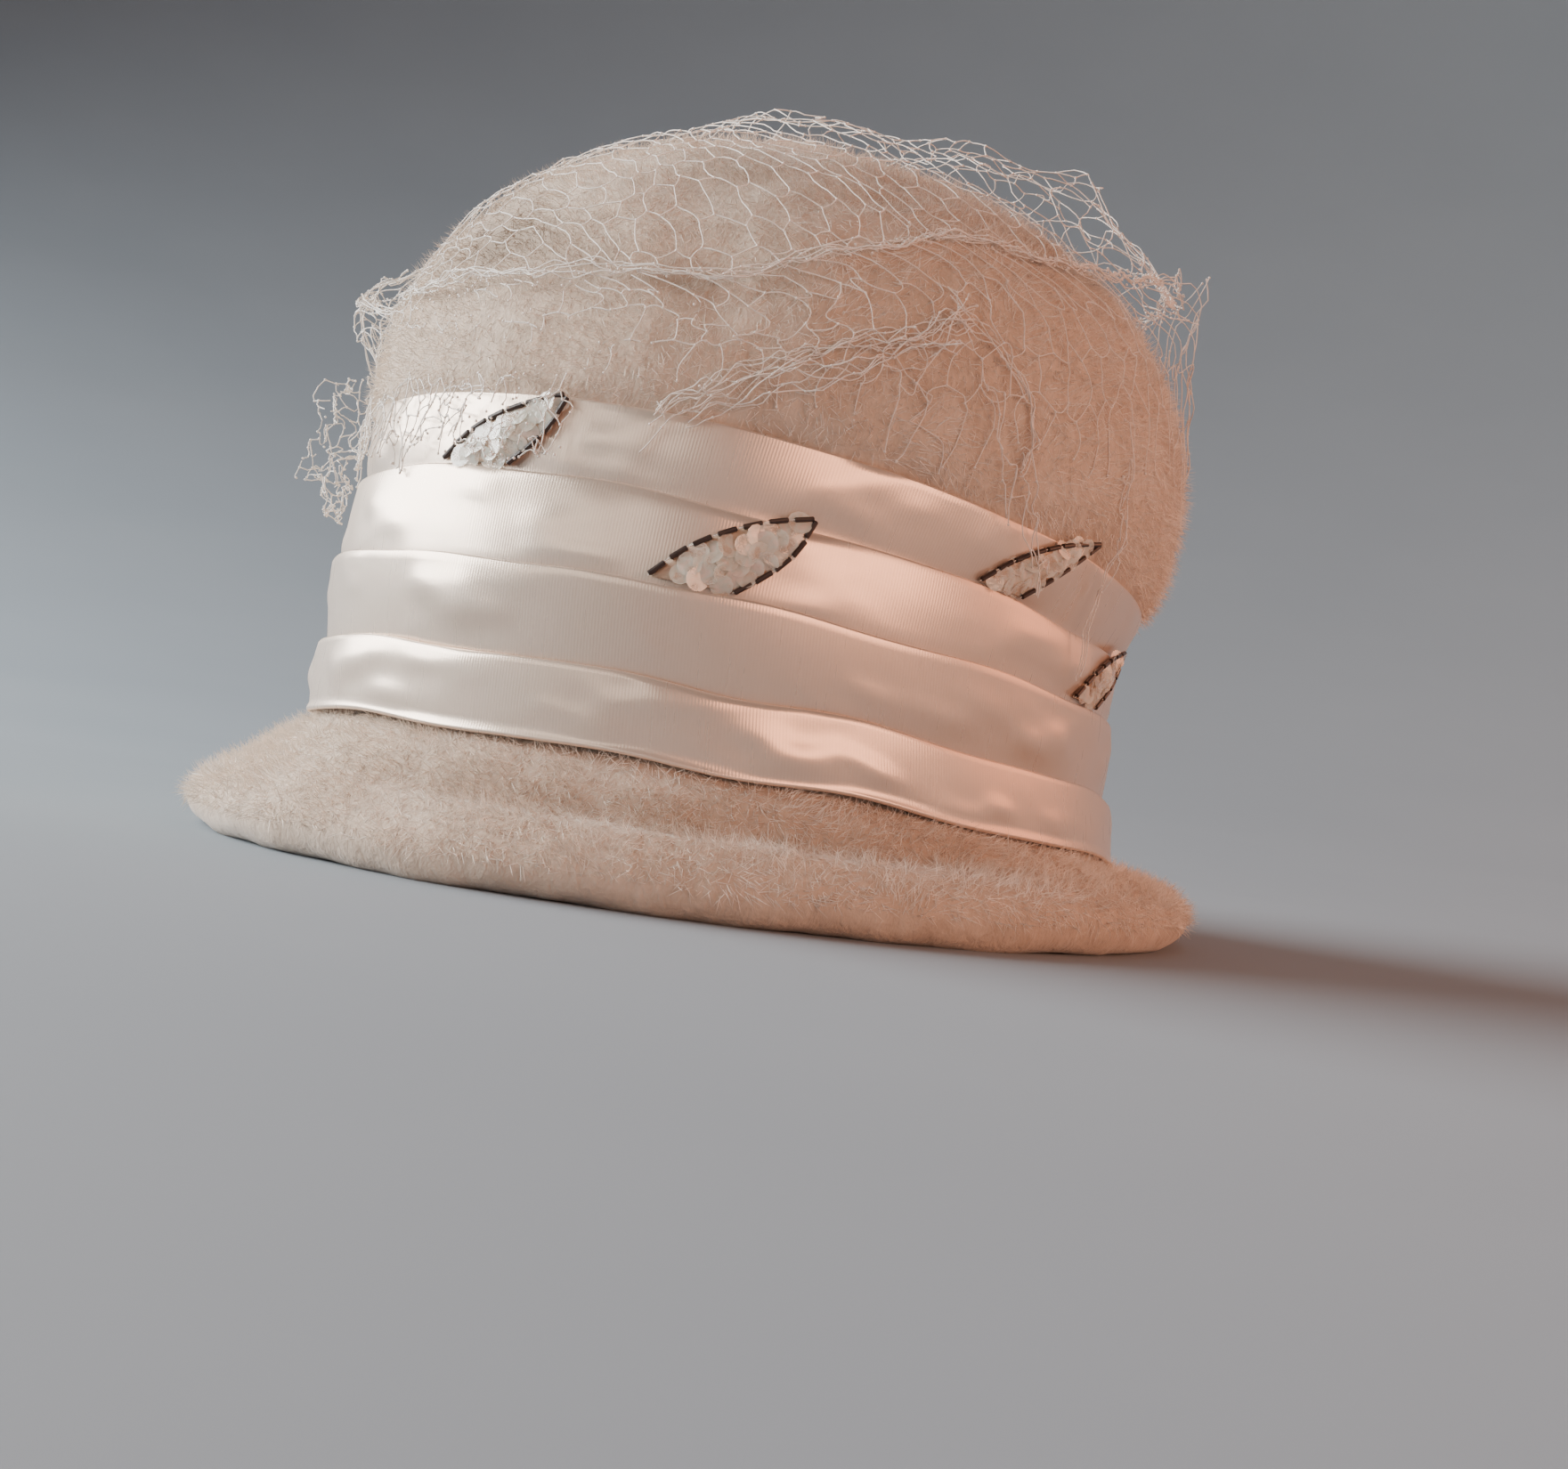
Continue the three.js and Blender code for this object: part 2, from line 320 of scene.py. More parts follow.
def tidied(piece):  # one closed skin, faces outwards
    work = bmesh.new()
    work.from_mesh(piece.data)
    bmesh.ops.remove_doubles(work, verts=work.verts, dist=1e-6)
    bmesh.ops.recalc_face_normals(work, faces=work.faces)
    for face in work.faces:
        face.smooth = True
    work.to_mesh(piece.data)
    work.free()
    return piece


def inwards(rows, wall):  # the same section moved in by the wall
    along = unit(np.gradient(rows[:, :2], axis=0))
    inner = rows.copy()
    inner[:, 0] = np.maximum(rows[:, 0] - wall * along[:, 1], 0)
    inner[:, 1] += wall * along[:, 0]
    return inner


# felt: hood, brim and their fur

# painted shade: the felt's deep colour and the fur's darkest colour darken the dents, the crown's top and the
# brim's front, with some crushed nap in the dents
feltLook = {"ground": (0.42, 0.315, 0.24, 1), "hair": (0.68, 0.56, 0.455, 1), "warm": (0.63, 0.475, 0.365, 1),
            "deep": (0.21, 0.145, 0.10, 1), "tuft": 330, "patch": 95, "roughness": 0.95, "sheen": 0.3,
            "bump": 1.0}
furLook = {"crownDensity": 1.0e6, "brimDensity": 1.7e6, "length": 0.0036, "thickness": 0.00009,
           "lie": 0.7, "rise": 0.48, "pull": 2.8, "stray": 0.7, "downwards": 0.10,
           "colour": (0.95, 0.83, 0.72, 1), "shade": 0.66, "crushedAndShaded": (0.24, 0.17, 0.12, 1),
           "crownSeed": 3, "brimSeed": 8, "crownFrom": 84.5, "brimFrom": 6.0, "brimTo": 21.5}
creaseRows = [  # azimuth, half width, radius, push up, spread: a soft fold in the brim's front
    (34, 44, 105.0, -2.4, 3.4), (30, 46, 112.0, 1.0, 3.2)]
shadeAndCrushRows = [  # azimuth, section height, strength, spread: painted shade in the dents and across the crown's top, with some crushed nap in the dents
    (-16, 134, 0.85, 13), (-26, 138, 0.35, 10), (-4, 130, 0.5, 9), (7, 124, 0.5, 8), (20, 123, 0.45, 7),
    (33, 127, 0.35, 7), (-30, 124, 0.35, 8), (22, 158, 0.4, 17), (55, 158, 0.35, 20), (90, 155, 0.3, 20),
    (30, 140, 0.2, 10), (-40, 150, 0.25, 10)]
# painted shade on the brim's front, next to the band
brimShade = {"azimuth": 34, "half": 40, "radius": 103, "spread": 5, "below": 32, "strength": 0.35}
feltSwell = ((34, 5, 0.30), (11, 6, 0.14))  # size, seed, height


def feltShader(look):
    material, recipe = newShader("felt")
    place = recipe.place()
    drawn = recipe.node("ShaderNodeMapping", {}, {"Vector": place, "Scale": (1, 1, 0.55)})
    tuft = noise(recipe, drawn, look["tuft"], 5.0, Roughness=0.65, Distortion=0.6)
    patch = noise(recipe, drawn, look["patch"], 3.0)
    fine = noise(recipe, drawn, look["tuft"] * 4, 3.0)
    light = ((tuft - 0.5) * 1.5 + (patch - 0.5) * 0.9 + 0.58).clamped()
    hair = mixed(recipe, noise(recipe, place, 14.0, 1.0), look["hair"], look["warm"])
    # painted shade: the felt goes towards its deep colour in the dents, on the crown's top and on the brim's
    # front
    hollow = recipe.node("ShaderNodeAttribute", {"attribute_name": "hollow"}, {}, "Fac")
    crushedAndShaded = (hollow * (tuft * 0.8 + patch * 0.9)).clamped()
    colour = mixed(recipe, crushedAndShaded, mixed(recipe, light, look["ground"], hair), look["deep"])
    bump = recipe.node("ShaderNodeBump", {}, {
        "Strength": look["bump"], "Distance": 0.0009, "Height": tuft * 0.7 + fine * 0.3})
    return finishShader(material, recipe, {
        "Base Color": colour, "Normal": bump, "Roughness": look["roughness"], "Sheen Weight": look["sheen"],
        "Sheen Roughness": 0.45, "Specular IOR Level": 0.2})


def furShader(look):
    material, recipe = newShader("fur")
    place = recipe.place()
    vary = ((noise(recipe, place, 420.0, 3.0) - 0.5) * 2.8 + 0.55).clamped()
    dark = shaded(look["colour"], look["shade"])
    # painted shade: the hairs go towards their darkest colour in the same places
    hollow = recipe.node("ShaderNodeAttribute", {"attribute_name": "hollow"}, {}, "Fac")
    crushedAndShaded = (hollow * (vary * -0.5 + 1.3)).clamped()
    colour = mixed(recipe, crushedAndShaded, mixed(recipe, vary, dark, look["colour"]), look["crushedAndShaded"])
    return finishShader(material, recipe, {
        "Base Color": colour, "Roughness": 0.7, "Sheen Weight": 0.2, "Specular IOR Level": 0.3})


def furTree(look):  # hairs that lean with a broad swirl, each strayed a little
    recipe, given = newGrower("furGrower", {
        "Density": 1e6, "Length": 0.004, "Thickness": 0.0001, "Lie": 1.0, "Rise": 0.4, "Seed": 0,
        "Material": None})
    spread = recipe.node("GeometryNodeDistributePointsOnFaces", {"distribute_method": "RANDOM"}, {
        "Mesh": given.out("Geometry"), "Density": given.out("Density"), "Seed": given.out("Seed")})
    swirl = recipe.node("ShaderNodeTexNoise", {}, {"Scale": 70.0, "Detail": 1.0}, "Color")
    flow = vectorMaths(recipe, "SUBTRACT", swirl, (0.5, 0.5, 0.5 + look["downwards"]))
    stray = recipe.node("FunctionNodeRandomValue", {"data_type": "FLOAT_VECTOR"}, {
        "Min": (-look["stray"],) * 3, "Max": (look["stray"],) * 3, "Seed": given.out("Seed")})
    lying = vectorMaths(recipe, "ADD", vectorMaths(recipe, "SCALE", flow, look["pull"]), stray)
    lying = vectorMaths(recipe, "SCALE", lying, given.out("Lie"))
    raised = vectorMaths(recipe, "SCALE", spread.out("Normal"), given.out("Rise"))
    toward = vectorMaths(recipe, "ADD", lying, raised)
    aimed = recipe.node("FunctionNodeAlignRotationToVector", {"axis": "Z"}, {"Vector": toward})
    hair = recipe.node("GeometryNodeMeshCone", {"fill_type": "NONE"}, {
        "Vertices": 3, "Radius Bottom": given.out("Thickness"), "Depth": given.out("Length")})
    size = recipe.node("FunctionNodeRandomValue", {"data_type": "FLOAT"},
                       {2: 0.5, 3: 1.25, "Seed": given.out("Seed")}, 1)
    grown = recipe.node("GeometryNodeInstanceOnPoints", {}, {
        "Points": spread.out("Points"), "Instance": hair, "Rotation": aimed, "Scale": size})
    return finishGrower(recipe, grown, given.out("Material"))


def feltPoints(rows, azimuth, oval):
    grid = dented(onHat(*(rows[:, i, None] for i in range(4)), azimuth, oval))
    turned = np.degrees((azimuth + math.pi) % (2 * math.pi) - math.pi)
    upper = np.clip((rows[:, 1, None] - 6) / 4, 0, 1)
    for turn, half, radius, push, spread in creaseRows:
        window = np.exp(-((turned - turn) / half) ** 4)
        grid[..., 2] += push * upper * window * np.exp(-((rows[:, 0, None] - radius) / spread) ** 2)
    outward = unit(grid - np.array([0, 5, 80]))
    swell = sum(height * softNoise(grid, size, seed) for size, seed, height in feltSwell)
    return grid + outward * swell[..., None]


def markShadeAndCrush(felt):  # how much painted shade, with some crushed nap in the dents, lies at each point, for the shaders
    points = np.array([vertex.co for vertex in felt.data.vertices]) / mm
    hollow = np.zeros(len(points))
    for azimuth, height, strength, spread in shadeAndCrushRows:
        radius = column(crownRows, "radius", height)
        away = np.linalg.norm(points - atHeight(radius, height, math.radians(azimuth)), axis=1)
        hollow += strength * np.exp(-(away / spread) ** 2)
    turned = np.degrees(np.arctan2(points[:, 0], -points[:, 1]))
    radius = np.hypot(points[:, 0] / (1 - form["brimOval"]), points[:, 1] / (1 + form["brimOval"]))
    around = ((turned - brimShade["azimuth"]) / brimShade["half"]) ** 4
    across = ((radius - brimShade["radius"]) / brimShade["spread"]) ** 2
    hollow += brimShade["strength"] * np.exp(-around - across) * (points[:, 2] < brimShade["below"])
    setLayer(felt, "hollow", hollow)


def makeFelt():
    azimuth = np.linspace(0, 2 * math.pi, form["columns"], endpoint=False)
    mirrored = crownRows[-2] * (-1, 1, 1, 1)
    outside = smoothed(np.vstack([brimRows, crownRows, mirrored]), form["step"])
    outside = outside[:np.argmax(outside[:, 0] < 0)]
    outside = np.vstack([outside, crownRows[-1]])
    inside = inwards(outside[::3], form["felt"])
    inside[-1] = crownRows[-1] - (0, form["felt"], 0, 0)
    section = np.vstack([inside[::-1], outside])
    crown = np.clip((section[:, 1] - form["brimStops"]) / form["ovalEases"], 0, 1)
    crown = crown * (section[:, 0] < form["brimStarts"])
    oval = (form["brimOval"] + (form["crownOval"] - form["brimOval"]) * crown)[:, None]
    points = feltPoints(section, azimuth, oval)
    felt = tidied(gridMesh("felt_hood", points))
    felt.data.materials.append(feltShader(feltLook))
    markShadeAndCrush(felt)
    finish(felt, "felt", "felt_body")
    outer = points[len(inside):]
    heights = outside[:, 1]
    lowest = np.argmax((heights > furLook["brimFrom"]) & (outside[:, 0] > form["brimStarts"]))
    return {"crown": outer[heights > furLook["crownFrom"]],
            "brim": outer[lowest:np.argmax(heights > furLook["brimTo"])]}


def makeFur(patches, look):
    material, tree = furShader(look), furTree(look)
    for name, grid in patches.items():
        patch = gridMesh(name + "Patch", grid)
        markShadeAndCrush(patch)
        fur = grow(patch, tree, name + "_fur", Density=look[name + "Density"], Length=look["length"],
                   Thickness=look["thickness"], Lie=look["lie"], Rise=look["rise"],
                   Seed=look[name + "Seed"], Material=material)
        print(name, "fur faces", len(fur.data.polygons))
        finish(fur, "felt")


makeFur(makeFelt(), furLook)
print("felt made")


# satin band in four folded tiers

satinLook = {"colour": (0.80, 0.645, 0.525, 1), "deep": (0.70, 0.545, 0.43, 1), "roughness": 0.28,
             "metallic": 0.55, "rib": 0.00070, "bump": 0.12}
bandShape = {"columns": 420, "cloth": 0.3, "lip": 0.45, "tuck": 4.5, "puff": 0.35, "pucker": 0.42,
             "flat": 0.12, "piping": 0.55, "seeds": (21, 22, 23, 24), "radius": 96, "sway": 0.35,
             "swells": ((42, 0, 1.0), (17, 40, 0.35)), "around": 0.602}  # swells: size, seed, share


def satinShader(look):
    material, recipe = newShader("satin")
    cloth = recipe.node("ShaderNodeUVMap", {"uv_map": "cloth"})
    ribs = recipe.node("ShaderNodeTexWave", {"bands_direction": "X", "wave_profile": "SIN"}, {
        "Vector": cloth, "Scale": 0.314 / look["rib"], "Distortion": 0.1, "Detail": 1.0, "Detail Scale": 0.3})
    across = recipe.node("ShaderNodeMapping", {}, {"Vector": cloth, "Scale": (1, 0.05, 1)})
    slubs = noise(recipe, across, 900.0, 3.0)
    broad = noise(recipe, cloth, 30.0, 2.0)
    light = (broad * 0.8 + slubs * 0.04 + ribs * 0.1).clamped()
    colour = mixed(recipe, light, look["deep"], look["colour"])
    bump = recipe.node("ShaderNodeBump", {}, {
        "Strength": look["bump"], "Distance": 0.00012, "Height": ribs * 0.8 + slubs * 0.04})
    rough = (slubs - 0.5) * 0.04 + look["roughness"]
    return finishShader(material, recipe, {
        "Base Color": colour, "Normal": bump, "Roughness": rough, "Metallic": look["metallic"],
        "Specular IOR Level": 0.8, "Sheen Weight": 0.15, "Anisotropic": 0.4})


def arc(centre, radius, start, stop, count):  # degrees, 0 outwards, 90 up
    turn = np.radians(np.linspace(start, stop, count))
    return np.stack([centre[0] + radius * np.cos(turn), centre[1] + radius * np.sin(turn)], axis=1)


def bandSection(shape):  # one strip from the piping up through every fold: radius, height, face, tier
    lip, path = shape["lip"], []
    bottom = tierRows[-1]
    around = arc((bottom[2], bottom[0] + shape["piping"]), shape["piping"], 200, 400, 9)
    path += [(bottom[2] - 1.3, bottom[0] + 3.5, 0, 3)] + [(*p, 0, 3) for p in around]
    for index in range(len(tierRows) - 1, -1, -1):
        low, high, foot, fold = tierRows[index]
        start = 1.9 if index == len(tierRows) - 1 else -shape["tuck"] + lip
        for share in np.linspace(0, 1, 15):
            height = low + start + (high - lip - low - start) * share
            along = np.clip((height - low) / (high - low), 0, 1)
            radius = foot + (fold - foot) * along + shape["puff"] * math.sin(math.pi * along)
            face = math.sin(math.pi * min(1, max(0, (height - low) / (high - low)))) ** 0.6
            path.append((radius, height, face, index))
        path += [(*p, 0, index) for p in arc((fold - lip, high - lip), lip, 30, 180, 6)]
        slope = (fold - foot) / (high - low)
        path.append((fold - 2 * lip - 0.1 - slope * shape["tuck"], high - shape["tuck"], 0, index))
    return np.array(path)


def makeBand(shape):
    section = bandSection(shape)
    azimuth = np.linspace(0, 2 * math.pi, shape["columns"], endpoint=False)
    outer = section[:, :2]
    along = unit(np.gradient(outer, axis=0))
    inner = outer + shape["cloth"] * np.stack([-along[:, 1], along[:, 0]], axis=1)
    loop = np.vstack([outer, inner[::-1]])
    face = np.concatenate([section[:, 2], section[::-1, 2]])[:, None]
    tier = np.concatenate([section[:, 3], section[::-1, 3]])[:, None]
    # the noise is drawn on a circle, so it closes round the head
    spot = np.stack(np.broadcast_arrays(shape["radius"] * np.sin(azimuth), shape["radius"] * np.cos(azimuth),
                                        loop[:, 1, None] * 2.2), axis=-1)
    lift, sway = np.zeros(spot.shape[:2]), np.zeros(spot.shape[:2])
    for index, seed in enumerate(shape["seeds"]):
        lift += (tier == index) * sum(share * softNoise(spot, size, seed + more)
                                      for size, more, share in shape["swells"])
        sway += (tier == index) * softNoise(spot[..., :2], 55, seed + 80)
    raised = 0.5 * (lift + np.sqrt(lift**2 + 0.4)) - shape["flat"]  # cloth swells out but can't sink in
    radius = loop[:, 0, None] + shape["pucker"] * raised * face
    grid = atHeight(radius, loop[:, 1, None] + shape["sway"] * sway, azimuth[None, :])
    grid = np.concatenate([grid, grid[:1]])
    way = np.concatenate([[0], np.cumsum(np.linalg.norm(np.diff(grid[:, 0], axis=0), axis=1))])
    length = shape["radius"] * np.append(azimuth, 2 * math.pi)
    piece = tidied(gridMesh("satin_pleats", grid, (length, way)))
    piece.data.materials.append(satinShader(satinLook))
    finish(piece, "satin", "satin_band")


makeBand(bandShape)


# leaves of cloth, sequins, beads and thread

leafRows = [  # tier, azimuth, foot, reach, climb, belly
    (0, -8.3, 18.6, 29.6, 14.3, 1), (1, 26.7, 17.4, 30.3, 16.0, 1), (0, 70, 12.0, 27.5, 17.2, 0.2),
    (1, 94, 12.5, 28, 17, 0.5), (0, 140, 16, 29, 15, 1), (1, 172, 16, 30, 16, 1), (0, 212, 16, 29, 15, 1)]
leafShape = {"start": 1.0, "lift": 0.8, "cloth": 0.35, "pillow": 0.8, "beadHeight": 1.5, "sequinHeight": 0.5,
             "turning": 0.55, "rows": 24, "columns": 9}
beadShape = {"pitch": 0.0047, "length": 0.0040, "radius": 0.00058, "thread": 0.00013}
sequinShape = {"apart": 0.0023, "radius": 0.0026, "thickness": 0.00012, "tilt": 0.34}
leafLook = {"cloth": ((0.34, 0.22, 0.145, 1), (0.66, 0.48, 0.34, 1)),
            "sequin": [(0.30, (0.86, 0.70, 0.55, 1)), (0.45, (0.92, 0.83, 0.70, 1)),
                       (0.55, (0.84, 0.84, 0.73, 1)), (0.68, (0.92, 0.75, 0.63, 1))],
            "bead": ((0.012, 0.008, 0.007, 1), (0.060, 0.034, 0.026, 1)),
            "thread": ((0.62, 0.52, 0.45, 1), (0.85, 0.77, 0.70, 1))}


def bezier(start, pull, end, count):
    t = np.linspace(0, 1, count)[:, None]
    start, pull, end = map(np.array, (start, pull, end))
    return (1 - t) ** 2 * start + 2 * t * (1 - t) * pull + t**2 * end


def leafEdges(row, count):  # the upper and the lower edge, each from the fold to the tip
    foot, reach, climb, belly = row[2:]
    widest = foot + (reach - foot) * (0.5 + 0.5 * belly)
    upper = bezier((0, 0), (0.30 * reach, 0.65 * climb), (reach, climb), count)
    return upper, bezier((foot, 0), (widest, 0.5 * climb), (reach, climb), count)


def onTier(row, flat, out):
    tier, azimuth = row[:2]
    low, high, foot, fold = tierRows[tier]
    height = low + leafShape["start"] + flat[..., 1]
    along = (height - low) / (high - low)
    bulge = bandShape["puff"] * np.sin(math.pi * np.clip(along, 0, 1))
    radius = foot + (fold - foot) * along + bulge + out
    return atHeight(radius, height, math.radians(azimuth) + flat[..., 0] / foot)


def leafShader(look):
    material, recipe = newShader("leafCloth")
    place = recipe.place()
    weave = noise(recipe, place, 1500.0, 3.0)
    light = (weave * 0.5 + noise(recipe, place, 260.0, 2.0) * 0.5).clamped()
    colour = mixed(recipe, light, *look["cloth"])
    bump = recipe.node("ShaderNodeBump", {}, {"Strength": 0.5, "Distance": 0.0003, "Height": weave})
    return finishShader(material, recipe, {
        "Base Color": colour, "Normal": bump, "Roughness": 0.6, "Coat Weight": 0.2})


def sequinShader(look):
    material, recipe = newShader("sequin")
    place = recipe.place()
    drift = noise(recipe, place, 420.0, 1.0)
    colour = recipe.node("ShaderNodeValToRGB", {"stops": look["sequin"]}, {"Fac": drift})
    clear = (drift * 0.7 + 0.05).clamped()
    ripple = noise(recipe, place, 1100.0, 1.0)
    bump = recipe.node("ShaderNodeBump", {}, {"Strength": 0.35, "Distance": 0.0003, "Height": ripple})
    return finishShader(material, recipe, {
        "Base Color": colour, "Alpha": clear, "Normal": bump, "Roughness": 0.12, "Specular IOR Level": 1.0,
        "Coat Weight": 1.0, "Coat Roughness": 0.05, "IOR": 1.6})


def beadShader(look):
    material, recipe = newShader("bead")
    place = recipe.place()
    vary = noise(recipe, place, 350.0, 2.0)
    colour = mixed(recipe, vary, *look["bead"])
    return finishShader(material, recipe, {
        "Base Color": colour, "Roughness": vary * 0.2 + 0.25, "Specular IOR Level": 0.4,
        "Coat Weight": 0.15, "Coat Roughness": 0.2})


def threadShader(look):
    material, recipe = newShader("thread")
    place = recipe.place()
    twist = noise(recipe, place, 2500.0, 2.0)
    colour = mixed(recipe, twist, *look["thread"])
    return finishShader(material, recipe, {"Base Color": colour, "Roughness": 0.7})


def beadTree():
    recipe, given = newGrower("beadStringer", {
        "Pitch": 0.005, "Length": 0.004, "Radius": 0.0006, "Thread": 0.0001, "Bead": None,
        "Thread Material": None})
    line = recipe.node("GeometryNodeMeshToCurve", {}, {"Mesh": given.out("Geometry")})
    half = given.out("Pitch") * 0.5
    whole = recipe.node("GeometryNodeCurveLength", {}, {"Curve": line})
    inner = recipe.node("GeometryNodeTrimCurve", {"mode": "LENGTH"}, {
        "Curve": line, "Start_001": half, "End_001": whole - half})
    spaced = recipe.node("GeometryNodeResampleCurve", {"mode": "LENGTH"}, {
        "Curve": inner, "Length": given.out("Pitch")})
    tangent = recipe.node("GeometryNodeInputTangent")
    along = recipe.node("FunctionNodeAlignRotationToVector", {"axis": "Z"}, {"Vector": tangent})
    tube = recipe.node("GeometryNodeMeshCylinder", {"fill_type": "NGON"}, {
        "Vertices": 10, "Radius": given.out("Radius"), "Depth": given.out("Length") * 0.93})
    core = recipe.node("GeometryNodeMeshCylinder", {"fill_type": "NGON"}, {
        "Vertices": 10, "Radius": given.out("Radius") * 0.78, "Depth": given.out("Length")})
    strung = recipe.node("GeometryNodeInstanceOnPoints", {}, {
        "Points": spaced, "Instance": joined(recipe, tube, core), "Rotation": along})
    beads = recipe.node("GeometryNodeSetMaterial", {}, {
        "Geometry": recipe.node("GeometryNodeRealizeInstances", {}, {"Geometry": strung}),
        "Material": given.out("Bead")})
    ring = recipe.node("GeometryNodeCurvePrimitiveCircle", {"mode": "RADIUS"}, {
        "Resolution": 5, "Radius": given.out("Thread")})
    thread = recipe.node("GeometryNodeCurveToMesh", {}, {
        "Curve": line, "Profile Curve": ring, "Fill Caps": True})
    thread = recipe.node("GeometryNodeSetMaterial", {}, {
        "Geometry": thread, "Material": given.out("Thread Material")})
    recipe.node("NodeGroupOutput", {}, {"Geometry": joined(recipe, beads, thread)})
    return recipe.tree


def sequinTree():
    recipe, given = newGrower("sequinScatter", {
        "Apart": 0.002, "Radius": 0.002, "Thickness": 0.0001, "Tilt": 0.3, "Seed": 0, "Material": None})
    spread = recipe.node("GeometryNodeDistributePointsOnFaces", {"distribute_method": "POISSON"}, {
        "Mesh": given.out("Geometry"), "Distance Min": given.out("Apart"), "Density Max": 9e5,
        "Seed": given.out("Seed")})
    stray = recipe.node("FunctionNodeRandomValue", {"data_type": "FLOAT_VECTOR"},
                        {"Min": (-1, -1, -1), "Max": (1, 1, 1), "Seed": given.out("Seed")})
    leant = vectorMaths(recipe, "SCALE", stray, given.out("Tilt"))
    toward = vectorMaths(recipe, "ADD", leant, spread.out("Normal"))
    aimed = recipe.node("FunctionNodeAlignRotationToVector", {"axis": "Z"}, {"Vector": toward})
    disc = recipe.node("GeometryNodeMeshCylinder", {"fill_type": "NGON"}, {
        "Vertices": 12, "Radius": given.out("Radius"), "Depth": given.out("Thickness")})
    size = recipe.node("FunctionNodeRandomValue", {"data_type": "FLOAT"},
                       {2: 0.75, 3: 1.1, "Seed": given.out("Seed")}, 1)
    laid = recipe.node("GeometryNodeInstanceOnPoints", {}, {
        "Points": spread.out("Points"), "Instance": disc, "Rotation": aimed, "Scale": size})
    return finishGrower(recipe, laid, given.out("Material"))


def lineMesh(name, points):  # edges only, for a tree that turns them into a curve
    return newPiece(name, points, [(i, i + 1) for i in range(len(points) - 1)], [])


def sheetMesh(name, grid, thickness=None):  # an open patch, or a thin closed one
    piece = gridMesh(name, grid, closed=False)
    if thickness:
        solid = tidied(piece).modifiers.new("cloth", "SOLIDIFY")
        solid.thickness, solid.offset = thickness * mm, 0
        piece = baked(piece, name)
    return piece


def declareLeaf(outline):  # works out the cloth's flat size and its area, cut with a narrow turning all round, and does nothing with them
    way, turning = unit(outline[np.argmax(outline[:, 0])]), leafShape["turning"]
    sides = (np.array([-way[1], way[0]]), way)
    size = tuple((float(np.ptp(outline @ side)) + 2 * turning) * mm for side in sides)
    after = np.roll(outline, -1, axis=0)
    area = abs(float((outline[:, 0] * after[:, 1] - outline[:, 1] * after[:, 0]).sum())) / 2
    area += float(np.linalg.norm(after - outline, axis=1).sum()) * turning
    area * mm**2


def makeLeaves(look):
    cloth, sequin, bead, thread = leafShader(look), sequinShader(look), beadShader(look), threadShader(look)
    stringer, scatter = beadTree(), sequinTree()
    for index, row in enumerate(leafRows):
        upper, lower = leafEdges(row, leafShape["rows"])
        across = np.linspace(0, 1, leafShape["columns"])[None, :, None]
        flat = upper[:, None] * (1 - across) + lower[:, None] * across
        toTip = np.linspace(0, 1, leafShape["rows"])[:, None]
        pillow = leafShape["pillow"] * np.sin(math.pi * across[..., 0])
        out = leafShape["lift"] + pillow * (1 - toTip**4)
        number = str(index + 1)
        base = sheetMesh("leaf_cloth_" + number, onTier(row, flat, out), leafShape["cloth"])
        base.data.materials.append(cloth)
        finish(base, "leaf", "leaf_" + number)
        declareLeaf(np.vstack([upper, lower[::-1]]))
        inside = (slice(1, -2), slice(1, -1))
        laid = onTier(row, flat[inside], out[inside] + leafShape["sequinHeight"])
        inner = sheetMesh("sequinPatch", laid[:, ::-1])
        fill = grow(inner, scatter, "leaf_sequins_" + number, Apart=sequinShape["apart"],
                    Radius=sequinShape["radius"], Thickness=sequinShape["thickness"],
                    Tilt=sequinShape["tilt"], Seed=index + 1, Material=sequin)
        finish(fill, "leaf")
        for side, edge in (("upper", upper), ("lower", lower)):
            line = lineMesh("beadLine", onTier(row, edge, np.full(len(edge), leafShape["beadHeight"])))
            string = grow(line, stringer, "beads_" + number + "_" + side, Pitch=beadShape["pitch"],
                          Length=beadShape["length"], Radius=beadShape["radius"], Thread=beadShape["thread"],
                          Bead=bead, **{"Thread Material": thread})
            finish(string, "bead")
        print("leaf", number, "sequin faces", len(fill.data.polygons))


makeLeaves(leafLook)


# veil of knotted strands

netLook = {"strand": 0.00014, "knot": 0.00033, "knotted": 1.8, "colour": (0.88, 0.79, 0.71, 1), "shade": 0.8}
capShape = {"turn": 35, "radius": 95, "columns": 42, "rows": 25, "lean": 0.38, "warp": 0.02, "seed": 31,
            "lift": 0.9, "swell": 1.6, "past": 5,
            "cell": {"width": 6.6, "straight": 7.6, "slant": 2.7, "wobble": 0.45, "bow": 0.25, "pieces": 4}}
skirtShape = {"columns": 84, "rows": 4, "lean": 11, "over": 0.4, "ragged": 4, "lift": 0.9, "swell": 1.2,
              "bare": -8, "bareHalf": 34, "bareness": 3.2, "seed": 12,
              "cell": {"width": 7.0, "straight": 11.5, "slant": 4.2, "wobble": 0.8, "bow": 1.0, "pieces": 6}}
ropeRows = np.array([  # where the veil is gathered: azimuth, section height, height of the hem below it
    (-180, 140, 92), (-140, 134, 92), (-110, 127, 94), (-78, 121, 98), (-52, 117, 103), (-28, 116, 103),
    (-5, 117, 100), (15, 120, 96), (25, 122, 92), (31, 125, 90), (37, 133, 88), (45, 137, 88), (52, 143, 86),
    (57, 146, 84), (65, 147, 90), (78, 147, 104), (88, 148, 108), (110, 149, 112), (135, 147, 104),
    (160, 143, 96), (180, 140, 92)])
puffRows = [  # azimuth, section height, how far the veil stands off, spread
    (120, 161, 17, 29), (70, 172, 12, 23), (126, 146, 10, 20), (-60, 120, 14, 12), (-74, 138, 2.5, 8),
    (-84, 150, 2.5, 8), (180, 150, 6, 40), (-120, 130, 5, 30)]
